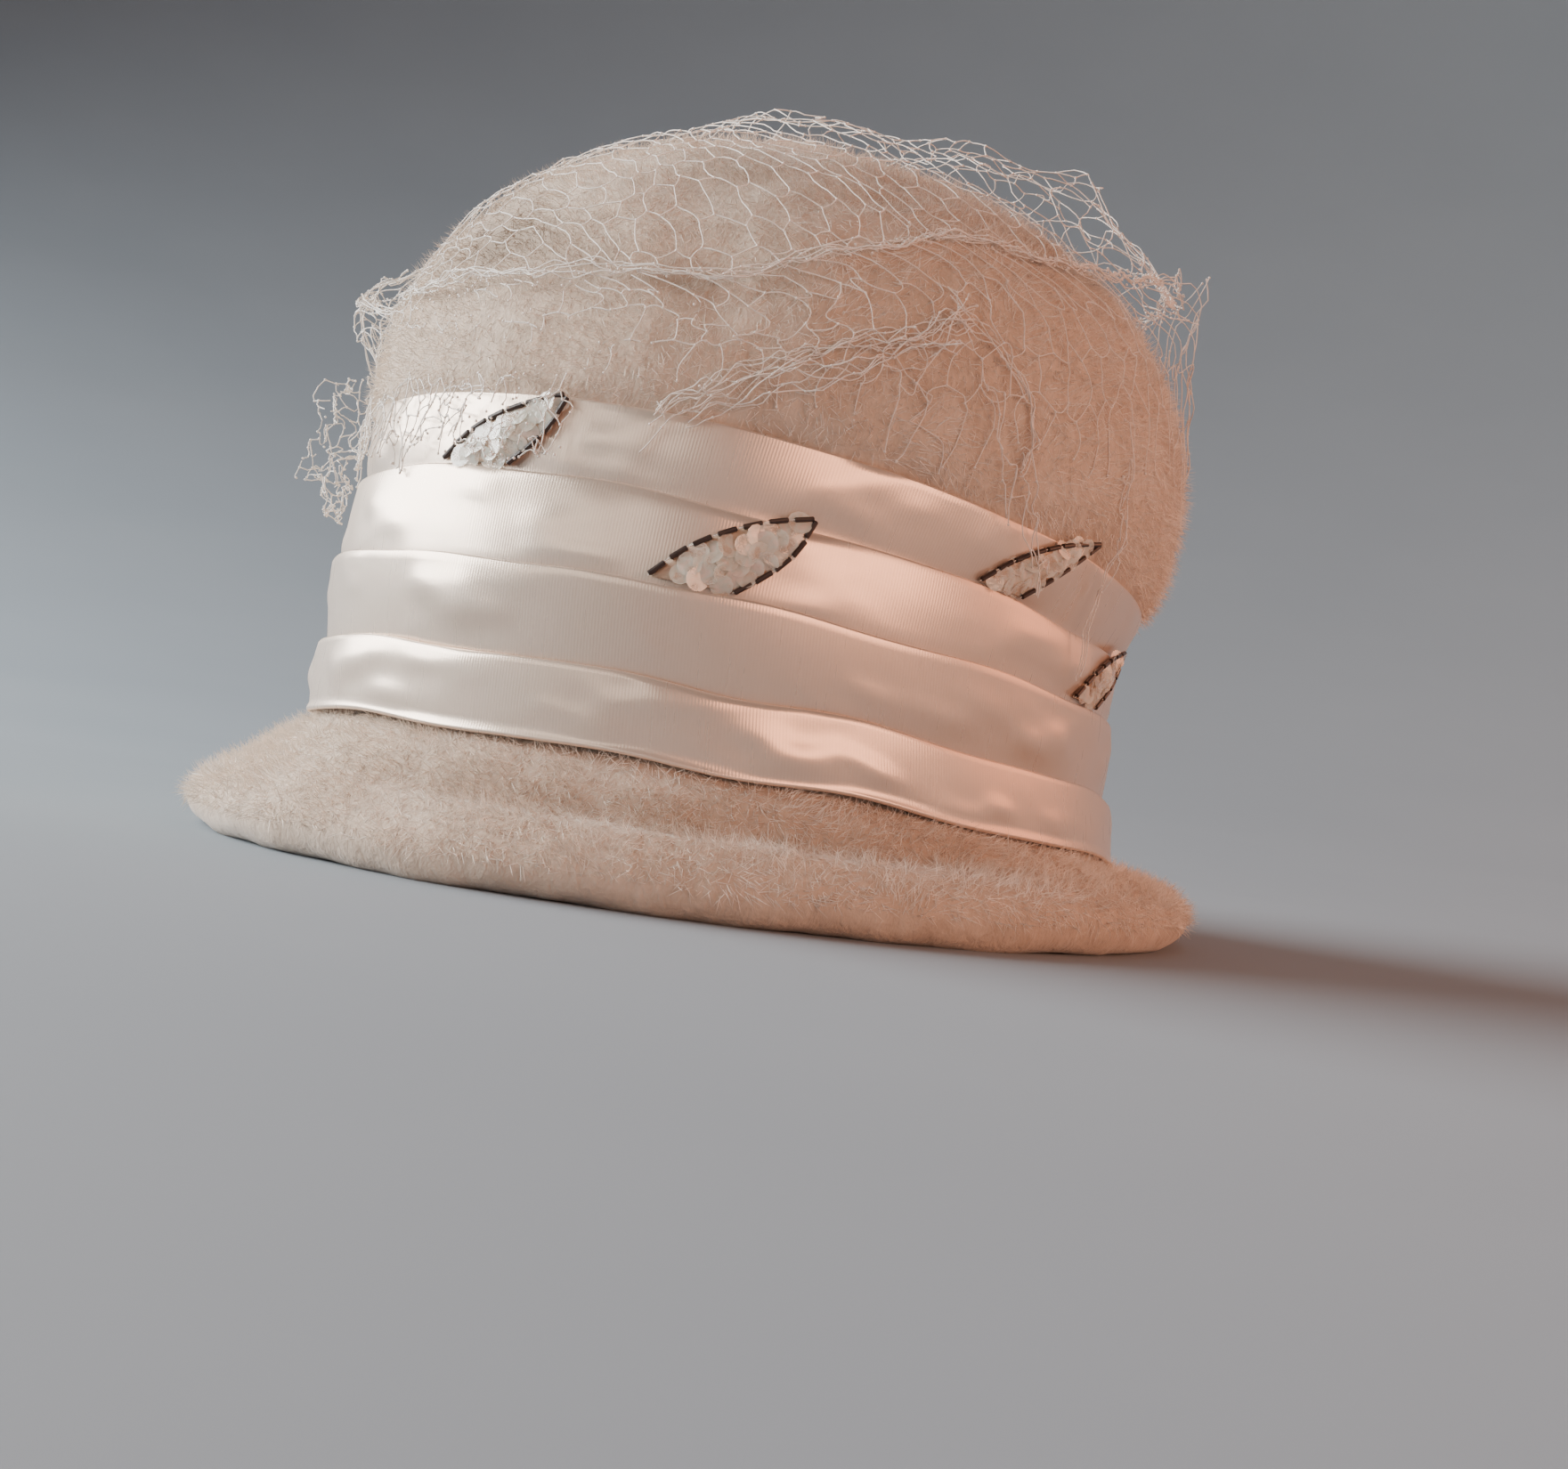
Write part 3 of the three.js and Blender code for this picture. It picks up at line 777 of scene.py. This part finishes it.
bundleRows = [  # strands, spread, then the way as azimuth and section height
    (7, 2.4, [(22, 86), (27, 90), (31, 97), (36, 102), (42, 109), (48, 114), (53, 119), (59, 125)]),
    (5, 2.6, [(27, 84), (33, 90), (38, 98), (43, 104), (49, 112), (56, 120)]),
    (5, 1.6, [(55, 126), (61, 122), (65, 116), (68, 109), (69, 100), (68, 91)]),
    (1, 0.2, [(48, 114), (50, 107), (54, 103), (52, 96), (57, 94), (58, 87)]),
    (2, 2.2, [(60, 118), (63, 108), (64, 98), (66, 88), (70, 80)]),
    (3, 2.5, [(67, 96), (72, 87), (76, 78), (79, 69)]), (3, 3.0, [(86, 110), (89, 96), (91, 80), (92, 62)]),
    (4, 3.2, [(-60, 134), (-57, 127), (-56, 119), (-57, 112), (-60, 106)])]
bundleShape = {"rope": (5, 1.5), "step": 1.6, "radius": 85, "flare": 1.2, "flareReach": 8, "knotEvery": 6,
               "lift": 0.9, "swell": 0.5, "seed": 1, "straySeed": 3}
looseShape = {"close": 0.8, "swell": 0.16, "ripple": 0.3, "stray": 0.22, "strayLift": 0.05}
drapeShape = {"azimuth": -20, "height": 79.5, "radius": 92, "sway": 1.5, "over": 2.4, "leaf": 3,
              "leafHalf": 9, "columns": 34, "rows": 5, "seed": 5,
              "cell": {"width": 3.0, "straight": 1.8, "slant": 1.2, "wobble": 0.5, "bow": 0.3, "pieces": 3}}
cornerRows = np.array([  # inner edge across and up, outer edge across and up, seen from the turn below
    (-92, 107, -99, 108), (-92.5, 104, -103.3, 107.4), (-92.5, 101, -105.5, 103), (-92.5, 98, -103.6, 98.3),
    (-92.5, 94, -105, 92.4), (-92.8, 90, -107.5, 87.6), (-93.5, 86, -109.4, 82.9), (-94.3, 82, -103.7, 82.8),
    (-95, 77, -99.9, 78), (-96, 73, -98.5, 71)])
cornerShape = {"turn": 35, "columns": 7, "rows": 11, "depth": 5, "back": 8, "stray": 0.7, "seed": 8,
               "cell": {"width": 3.0, "straight": 2.2, "slant": 1.4, "wobble": 0.5, "bow": 0.3, "pieces": 3}}


def netShader(look):
    material, recipe = newShader("net")
    place = recipe.place()
    dim = shaded(look["colour"], look["shade"])
    colour = mixed(recipe, noise(recipe, place, 240.0, 3.0), dim, look["colour"])
    return finishShader(material, recipe, {
        "Base Color": colour, "Roughness": 0.42, "Sheen Weight": 0.3, "Specular IOR Level": 0.6})


def netTree():
    recipe, given = newGrower("netMaker", {"Strand": 0.0002, "Knot": 0.0004, "Material": None})
    thick = recipe.node("GeometryNodeInputNamedAttribute", {"data_type": "FLOAT"}, {"Name": "thick"})
    lines = recipe.node("GeometryNodeMeshToCurve", {}, {"Mesh": given.out("Geometry")})
    lines = recipe.node("GeometryNodeSetCurveRadius", {}, {"Curve": lines, "Radius": thick})
    ring = recipe.node("GeometryNodeCurvePrimitiveCircle", {"mode": "RADIUS"}, {
        "Resolution": 4, "Radius": given.out("Strand")})
    strands = recipe.node("GeometryNodeCurveToMesh", {}, {
        "Curve": lines, "Profile Curve": ring, "Fill Caps": True})
    spots = recipe.node("GeometryNodeMeshToPoints", {}, {
        "Mesh": given.out("Geometry"), "Selection": thick.maths("GREATER_THAN", 1.5)})
    ball = recipe.node("GeometryNodeMeshIcoSphere", {}, {"Radius": given.out("Knot"), "Subdivisions": 1})
    knots = recipe.node("GeometryNodeInstanceOnPoints", {}, {"Points": spots, "Instance": ball})
    return finishGrower(recipe, joined(recipe, strands, knots), given.out("Material"))


def flatNet(cell, columns, rows, closed, seed):  # knots and strands, closed where the net goes all round
    step, knots, ends = cell["straight"] + cell["slant"], [], []
    for row in range(rows):
        for column in range(columns):
            for half in (0, 1):  # upper and lower end of a straight strand
                across = (column + 0.5 * (row % 2)) * cell["width"]
                knots.append((across, row * step + half * cell["straight"]))
    for row in range(rows):
        for column in range(columns):
            lower = 2 * (row * columns + column) + 1
            ends.append((lower - 1, lower))
            for side in (0, 1):
                other = column - 1 + side + row % 2
                if row + 1 < rows and (closed or 0 <= other < columns):
                    ends.append((lower, 2 * ((row + 1) * columns + other % columns)))
    knots = np.array(knots)
    return knots + np.random.default_rng(seed).normal(size=knots.shape) * cell["wobble"], np.array(ends)


def netLines(place, shape, closed=False):  # points, their thickness and the strands' pieces
    cell = shape["cell"]
    knots, ends = flatNet(cell, shape["columns"], shape["rows"], closed, shape["seed"])
    start, way = knots[ends[:, 0]], knots[ends[:, 1]] - knots[ends[:, 0]]
    if closed:
        around = shape["columns"] * cell["width"]
        way[:, 0] = (way[:, 0] + around / 2) % around - around / 2
    share = (np.arange(1, cell["pieces"]) / cell["pieces"])[None, :, None]
    bow = np.random.default_rng(shape["seed"]).normal(size=(len(ends), 1, 2)) * cell["bow"]
    between = start[:, None] + way[:, None] * share + bow * np.sin(math.pi * share)
    points, kept = place(np.vstack([knots, between.reshape(-1, 2)]), shape)
    chain = len(knots) + np.arange(len(ends) * (cell["pieces"] - 1)).reshape(len(ends), -1)
    chain = np.hstack([ends[:, :1], chain, ends[:, 1:]])
    lines = np.stack([chain[:, :-1], chain[:, 1:]], axis=-1).reshape(-1, 2)
    thick = np.where(np.arange(len(points)) < len(knots), netLook["knotted"], 1.0)
    return points, thick, lines[kept[lines].all(axis=1)]


def netMesh(name, parts):
    points, thick, lines = zip(*parts)
    before = np.cumsum([0] + [len(some) for some in points])
    lines = np.vstack([some + count for some, count in zip(lines, before)])
    piece = newPiece(name, np.vstack(points), lines.tolist(), [])
    setLayer(piece, "thick", np.concatenate(thick))
    return piece


# what the veil lies over, from the crown's tip down across the band
overBand = [(fold + 0.4, high, column(crownRows, "rise", high), column(crownRows, "lean", high))
            for low, high, foot, fold in tierRows]
skinRows = np.vstack([crownRows[::-1][:-5], overBand])
skinPath = np.concatenate([[0], np.cumsum(np.hypot(*np.diff(skinRows[:, :2], axis=0).T))])


def skinPoint(path, azimuth):
    section = [np.interp(path, skinPath, skinRows[:, i]) for i in range(4)]
    return onHat(*section, azimuth, form["crownOval"])


def pathAt(height):
    return np.interp(-height, -skinRows[:, 1], skinPath)


def ropeColumn(azimuth, which):  # smoothed a little between the table's rows
    turn = np.degrees(azimuth)
    return sum(np.interp((turn + shift + 180) % 360 - 180, ropeRows[:, 0], ropeRows[:, which])
               for shift in (-4, 0, 4)) / 3


def sideways(stray, away):  # the part of the stray that runs along the skin
    return stray - away * (stray * away).sum(axis=1)[:, None]


def overHat(path, azimuth, lift, seed):  # off the skin by the lift and the puffs, and a little astray
    base = skinPoint(path, azimuth)
    for turn, height, puff, spread in puffRows:
        middle = skinPoint(pathAt(height), math.radians(turn))
        lift = lift + puff * np.exp(-(np.linalg.norm(base - middle, axis=1) / spread) ** 2)
    away = unit(base - np.array(form["bulge"]))
    stray = wander(base, 9, seed) * (looseShape["stray"] + looseShape["strayLift"] * lift)[:, None]
    lift = lift * (1 + looseShape["swell"] * softNoise(base, 26, seed))
    lift = lift + looseShape["ripple"] * np.abs(softNoise(base, 12, seed + 4))
    lift = np.maximum(lift, looseShape["close"])
    return base + away * lift[:, None] + sideways(stray, away)


def onCap(flat, shape):  # over the crown from the gathering in front to the one behind
    flat = (flat - flat.mean(axis=0)) / shape["radius"]
    warp = [softNoise(flat, 0.5, shape["seed"] + k) for k in (0, 1)]
    flat = flat + shape["warp"] * np.stack(warp, axis=1)
    over, turn = flat[:, 1], math.radians(shape["turn"])
    across = np.clip(flat[:, 0] + shape["lean"] * over, -1.5, 1.5)
    side, front, up = np.sin(across), np.cos(across) * np.sin(over), np.cos(across) * np.cos(over)
    east = side * math.cos(turn) + front * math.sin(turn)
    north = side * math.sin(turn) - front * math.cos(turn)
    azimuth = np.arctan2(east, -north)
    table = np.linspace(0, skinPath[-1], 120)
    seen = unit(skinPoint(table, turn) - np.array(form["bulge"]))[:, 2]
    path = np.interp(-up, -seen, table)
    rope = pathAt(ropeColumn(azimuth, 1))
    edge = rope + softNoise(flat, 0.12, shape["seed"] + 2)
    lift = shape["lift"] + shape["swell"] * np.sin(math.pi * np.clip(path / rope, 0, 1)) ** 2
    return overHat(np.minimum(path, edge), azimuth, lift, shape["seed"]), path < rope + shape["past"]


def onSkirt(flat, shape):  # from the gathering down to the ragged hem
    cell = shape["cell"]
    turn = flat[:, 0] / (shape["columns"] * cell["width"]) * 2 * math.pi
    down = flat[:, 1] / (shape["rows"] * (cell["straight"] + cell["slant"]) - cell["slant"])
    azimuth = turn - math.radians(shape["lean"]) * (1 - np.clip(down / shape["over"], 0, 1)) ** 2
    azimuth = (azimuth + math.pi) % (2 * math.pi) - math.pi
    ring = np.stack([60 * np.cos(turn), 60 * np.sin(turn), 60 * down], axis=1)
    rope, hem = pathAt(ropeColumn(azimuth, 1)), pathAt(ropeColumn(azimuth, 2))
    ragged = shape["ragged"] * softNoise(ring, 30, shape["seed"]) * down
    path = rope + (hem - rope) * np.maximum(down, -0.02) + ragged
    lift = shape["lift"] + shape["swell"] * np.sin(math.pi * np.clip(down, 0, 1)) ** 2
    front = np.exp(-((np.degrees(azimuth) - shape["bare"]) / shape["bareHalf"]) ** 4)
    kept = softNoise(ring, 14, shape["seed"] + 1) > -3 + shape["bareness"] * front
    return overHat(path, azimuth, lift, shape["seed"]), kept


def onDrape(flat, shape):  # the crinkled edge across the first leaf
    flat = flat - flat.mean(axis=0)
    azimuth = math.radians(shape["azimuth"]) + flat[:, 0] / shape["radius"]
    height = shape["height"] - flat[:, 1] + shape["sway"] * softNoise(flat, 20, shape["seed"])
    base = skinPoint(pathAt(height), azimuth)
    over = np.exp(-((np.degrees(azimuth) - shape["leaf"]) / shape["leafHalf"]) ** 4)
    away = unit(base * (1, 1, 0))
    stray = sideways(wander(flat, 8, shape["seed"]), away)
    lift = looseShape["close"] + shape["over"] * over + 0.5 * np.abs(softNoise(flat, 9, shape["seed"] + 4))
    sparse = softNoise(flat, 12, shape["seed"] + 5) > -1.7 + 1.6 * over
    return base + away * lift[:, None] + stray, sparse


def onCorner(flat, shape):  # the corner that stands off the wearer's right side
    flat = flat - flat.min(axis=0)
    share = flat / flat.max(axis=0)
    row, out = share[:, 1] ** 0.8 * (len(cornerRows) - 1), share[:, 0] ** 1.25
    inner, low, outer, high = (np.interp(row, np.arange(len(cornerRows)), values) for values in cornerRows.T)
    across, up = inner + (outer - inner) * out, low + (high - low) * out
    turn = math.radians(shape["turn"])
    depth = shape["depth"] * softNoise(flat, 13, shape["seed"]) - shape["back"]
    points = np.stack([across * math.cos(turn) + depth * math.sin(turn),
                       across * math.sin(turn) - depth * math.cos(turn), up], axis=1)
    kept = softNoise(flat, 7, shape["seed"] + 4) > -2.2 + share[:, 0]
    return points + shape["stray"] * wander(flat, 5, shape["seed"]), kept


def bundles(rows, shape):  # strands drawn together: the rope all round, then bundles whose ends flare
    rope = [(turn, ropeColumn(math.radians(turn), 1)) for turn in range(-180, 181, 3)]
    seed, parts = shape["seed"], []
    for index, (strands, spread, way) in enumerate([(*shape["rope"], rope), *rows]):
        turns, heights = np.array(way, float).T
        steps = np.hypot(np.radians(np.diff(turns)) * shape["radius"], np.diff(heights))
        at = np.concatenate([[0], np.cumsum(steps)])
        along = np.arange(0, at[-1], shape["step"])
        toEnd = np.minimum(along, at[-1] - along)
        flare = 1 + shape["flare"] * np.exp(-toEnd / shape["flareReach"]) * (index > 0)
        turn, height = np.interp(along, at, turns), np.interp(along, at, heights)
        number = np.arange(len(along))
        for seed in range(seed + 1, seed + 1 + strands):
            spot = np.stack([along, np.full(len(along), 40.0 * seed)], axis=1)
            off = spread * flare * (0.75 * softNoise(spot, 34, seed) + 0.3 * softNoise(spot, 8, seed + 50))
            lift = shape["lift"] + shape["swell"] * spread * np.abs(softNoise(spot, 20, seed + 90))
            points = overHat(pathAt(height) + off, np.radians(turn), lift, shape["straySeed"])
            knotted = number % shape["knotEvery"] == seed % shape["knotEvery"]
            parts.append((points, np.where(knotted, netLook["knotted"], 1.0),
                          np.stack([number[:-1], number[1:]], axis=1)))
    return parts


def makeVeil():
    material, tree = netShader(netLook), netTree()
    overCrown = [netLines(onCap, capShape), netLines(onSkirt, skirtShape, True)]
    overCrown += bundles(bundleRows, bundleShape)
    loose = [netLines(onDrape, drapeShape), netLines(onCorner, cornerShape)]
    for name, parts in (("veil_net", overCrown), ("veil_corner", loose)):
        veil = grow(netMesh(name + "_lines", parts), tree, name, Strand=netLook["strand"],
                    Knot=netLook["knot"], Material=material)
        finish(veil, "net", "veil")
        print(name, "faces", len(veil.data.polygons))


makeVeil()


# floor and lights

stageLook = {"flat": 0.45, "bend": 2.2, "wall": 0.2, "across": (0.25, 0.18, 0.26), "middle": 0.30,
             "left": (0.135, 0.17, 0.205, 1), "right": (0.42, 0.45, 0.48, 1)}
skyLook = {"colour": (0.80, 0.86, 0.92, 1), "strength": 0.08}
lightRows = [  # name, azimuth from the camera, elevation, distance, width, height, watts, colour
    ("window", -98, 15, 1.3, 1.5, 1.1, 92, (0.93, 0.95, 0.94)),
    ("front", -32, 4, 1.5, 1.2, 0.9, 6, (1.0, 0.91, 0.82)),
    ("warm", 42, 8, 1.4, 1.3, 0.8, 21, (1.0, 0.47, 0.28)),
    ("side", 100, 15, 1.4, 1.0, 1.0, 9, (1.0, 0.34, 0.15)),
    ("above", 170, 60, 1.5, 0.9, 0.9, 2.5, (0.95, 0.93, 0.90))]


def floorShader(look):
    material, recipe = newShader("floor")
    place = recipe.place()
    across = vectorMaths(recipe, "DOT_PRODUCT", place, look["across"]).out("Value")
    # painted light and shade: the floor gets lighter up the wall, where the lamps leave it dim, and darker
    # towards the camera's left
    share = (across + look["middle"] + noise(recipe, place, 6.0, 3.0) * 0.1).clamped()
    colour = mixed(recipe, share, look["left"], look["right"])
    return finishShader(material, recipe, {"Base Color": colour, "Roughness": 0.9})


def makeStage(look):
    flat = np.linspace(0, look["flat"], 5)
    bend = np.linspace(0, math.pi / 2, 15)[1:]
    radius = np.concatenate([flat, look["flat"] + look["bend"] * np.sin(bend)])
    height = np.concatenate([flat * 0, look["bend"] * (1 - np.cos(bend))])
    radius, height = np.append(radius, radius[-1]), np.append(height, height[-1] + look["wall"])
    turn = np.linspace(0, 2 * math.pi, 96, endpoint=False)
    radius, height = radius[:, None], height[:, None]
    grid = np.stack(np.broadcast_arrays(radius * np.cos(turn), radius * np.sin(turn), height), axis=-1)
    floor = gridMesh("floor", grid[:, ::-1] / mm)
    for face in floor.data.polygons:
        face.use_smooth = True
    floor.data.materials.append(floorShader(look))


def makeSky(look):
    world = bpy.data.worlds.new("world")
    world.use_nodes = True
    background = world.node_tree.nodes["Background"]
    background.inputs["Color"].default_value = look["colour"]
    background.inputs["Strength"].default_value = look["strength"]
    bpy.context.scene.world = world


def makeLights(rows):
    for name, turn, tilt, distance, width, height, watts, colour in rows:
        data = bpy.data.lights.new(name, "AREA")
        data.shape, data.size, data.size_y = "RECTANGLE", width, height
        data.energy, data.color = watts, colour
        a, e = math.radians(cameraLook["azimuth"] + turn), math.radians(tilt)
        away = Vector((math.sin(a) * math.cos(e), -math.cos(a) * math.cos(e), math.sin(e)))
        aimed(placed(name, data), (0, 0, 0.09), away * distance)


makeStage(stageLook)
makeSky(skyLook)
makeLights(lightRows)
print("stage made")
